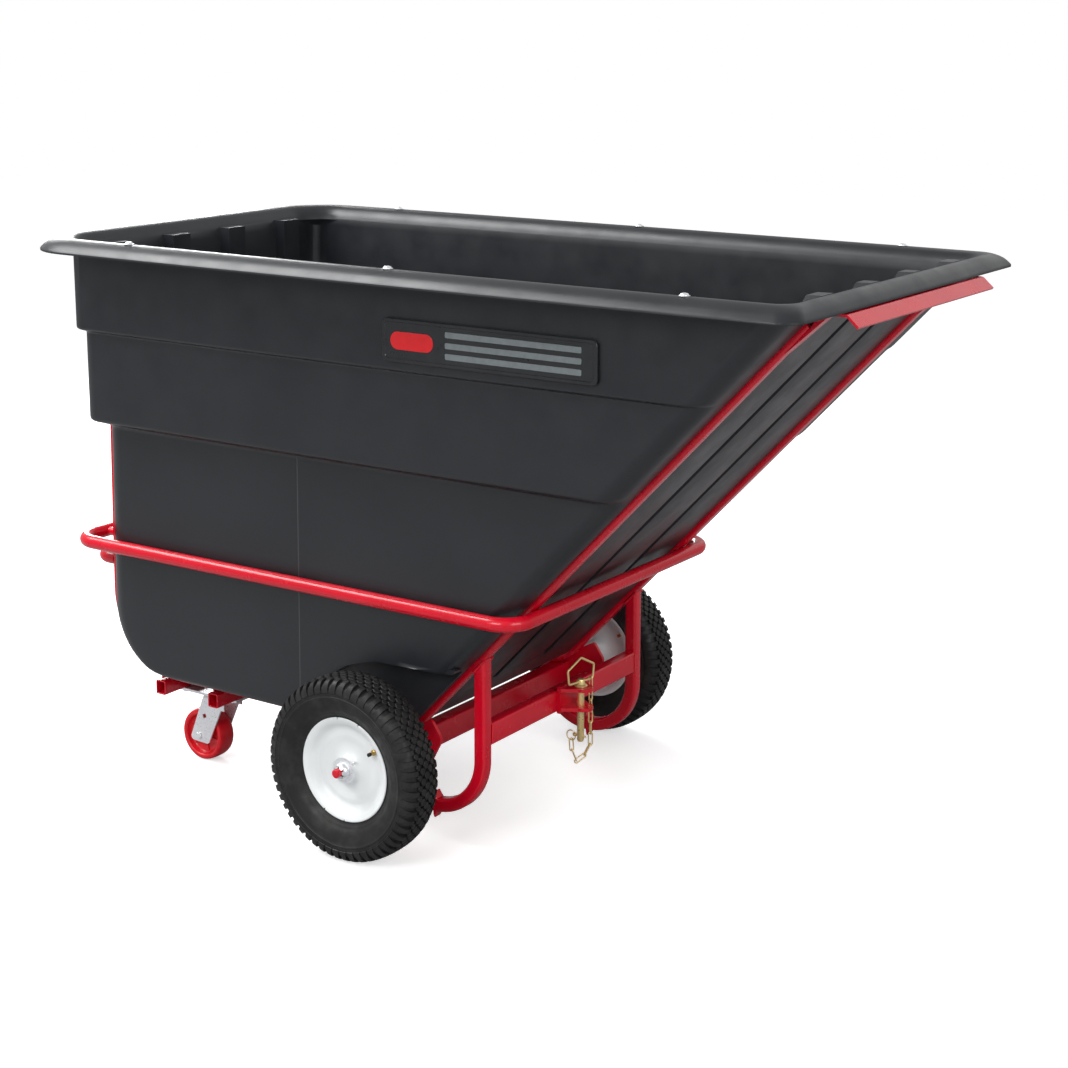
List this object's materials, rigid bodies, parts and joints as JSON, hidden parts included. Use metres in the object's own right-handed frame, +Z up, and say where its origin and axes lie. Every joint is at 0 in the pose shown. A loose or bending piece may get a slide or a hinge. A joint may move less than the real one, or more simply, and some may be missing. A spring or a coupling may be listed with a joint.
{
  "type": "garden cart",
  "caption": "Tilt truck: black moulded hopper with a sloping front on a red tube cradle, large pneumatic wheels, rear swivel casters and a towing clevis with chained pin.",
  "frame": {"origin": "on the ground, in the middle of the cart's overall length and width", "axes": "+X towards the sloping tipping end with the tow clevis, +Y to the cart's left, +Z up"},
  "size_m": [2.0577, 1.104, 1.296],
  "materials": {
    "black_plastic": "satin, moulded",
    "badge_plastic": "satin",
    "red_powder_coat": "gloss powder coat",
    "red_polyolefin": "semi-gloss",
    "tyre_rubber": "matt",
    "white_wheel_paint": "satin",
    "bright_zinc": "bright zinc plate",
    "yellow_zinc": "yellow zinc plate",
    "brass": "plain",
    "bearing_steel": "ground"
  },
  "bodies": {
    "cart": {"hopper": "black_plastic", "cradle_rail_right": "red_powder_coat", "front_guard_right": "red_powder_coat", "axle_hanger_right": "red_powder_coat", "caster_plate_right": "bright_zinc", "caster_kingpin_right": "bright_zinc", "side_badge_right": "badge_plastic", "rim_bolt_right_1": "bright_zinc", "rim_bolt_right_2": "bright_zinc", "rim_bolt_right_3": "bright_zinc", "cradle_rail_left": "red_powder_coat", "front_guard_left": "red_powder_coat", "axle_hanger_left": "red_powder_coat", "caster_plate_left": "bright_zinc", "caster_kingpin_left": "bright_zinc", "side_badge_left": "badge_plastic", "rim_bolt_left_1": "bright_zinc", "rim_bolt_left_2": "bright_zinc", "rim_bolt_left_3": "bright_zinc", "bumper_ring": "red_powder_coat", "rear_handle_bar": "red_powder_coat", "axle_beam": "red_powder_coat", "front_bar": "red_powder_coat", "rim_lip_plate": "red_powder_coat", "caster_crossmember_rear": "red_powder_coat", "caster_crossmember_front": "red_powder_coat", "axle_shaft": "red_powder_coat", "tow_clevis": "red_powder_coat"},
    "wheel_right": {"tyre_right": "tyre_rubber", "wheel_disc_right": "white_wheel_paint", "bearing_outer_right": "bearing_steel", "bearing_inner_right": "bearing_steel", "push_nut_right": "bright_zinc", "valve_stem_right": "brass"},
    "caster_swivel_right": {"caster_fork_right": "bright_zinc", "caster_axle_bolt_right": "bright_zinc"},
    "caster_roller_right": {"caster_wheel_right": "red_polyolefin"},
    "wheel_left": {"tyre_left": "tyre_rubber", "wheel_disc_left": "white_wheel_paint", "bearing_outer_left": "bearing_steel", "bearing_inner_left": "bearing_steel", "push_nut_left": "bright_zinc", "valve_stem_left": "brass"},
    "caster_swivel_left": {"caster_fork_left": "bright_zinc", "caster_axle_bolt_left": "bright_zinc"},
    "caster_roller_left": {"caster_wheel_left": "red_polyolefin"},
    "hitch": {"hitch_pin": "yellow_zinc", "hitch_pin_handle": "yellow_zinc", "hitch_clip": "yellow_zinc", "chain_link_01": "yellow_zinc", "chain_link_02": "yellow_zinc", "chain_link_03": "yellow_zinc", "chain_link_04": "yellow_zinc", "chain_link_05": "yellow_zinc", "chain_link_06": "yellow_zinc", "chain_link_07": "yellow_zinc", "chain_link_08": "yellow_zinc", "chain_link_09": "yellow_zinc", "chain_link_10": "yellow_zinc"}
  },
  "joints": [
    {"name": "wheel_spin_right", "type": "hinge", "parent": "cart", "child": "wheel_right", "pos_m": [-0.0594, -0.492, 0.2032], "axis": [0, 1, 0], "continuous": true},
    {"name": "caster_turn_right", "type": "hinge", "parent": "cart", "child": "caster_swivel_right", "pos_m": [-0.6794, -0.228, 0.15], "axis": [0, 0, 1], "continuous": true},
    {"name": "caster_roll_right", "type": "hinge", "parent": "caster_swivel_right", "child": "caster_roller_right", "pos_m": [-0.7274, -0.228, 0.0635], "axis": [0, 1, 0], "continuous": true},
    {"name": "wheel_spin_left", "type": "hinge", "parent": "cart", "child": "wheel_left", "pos_m": [-0.0594, 0.492, 0.2032], "axis": [0, 1, 0], "continuous": true},
    {"name": "caster_turn_left", "type": "hinge", "parent": "cart", "child": "caster_swivel_left", "pos_m": [-0.6794, 0.228, 0.15], "axis": [0, 0, 1], "continuous": true},
    {"name": "caster_roll_left", "type": "hinge", "parent": "caster_swivel_left", "child": "caster_roller_left", "pos_m": [-0.7274, 0.228, 0.0635], "axis": [0, 1, 0], "continuous": true},
    {"name": "hitch_pin_lift", "type": "slide", "parent": "cart", "child": "hitch", "axis": [0, 0, 1], "range_m": [0, 0.045]}
  ]
}
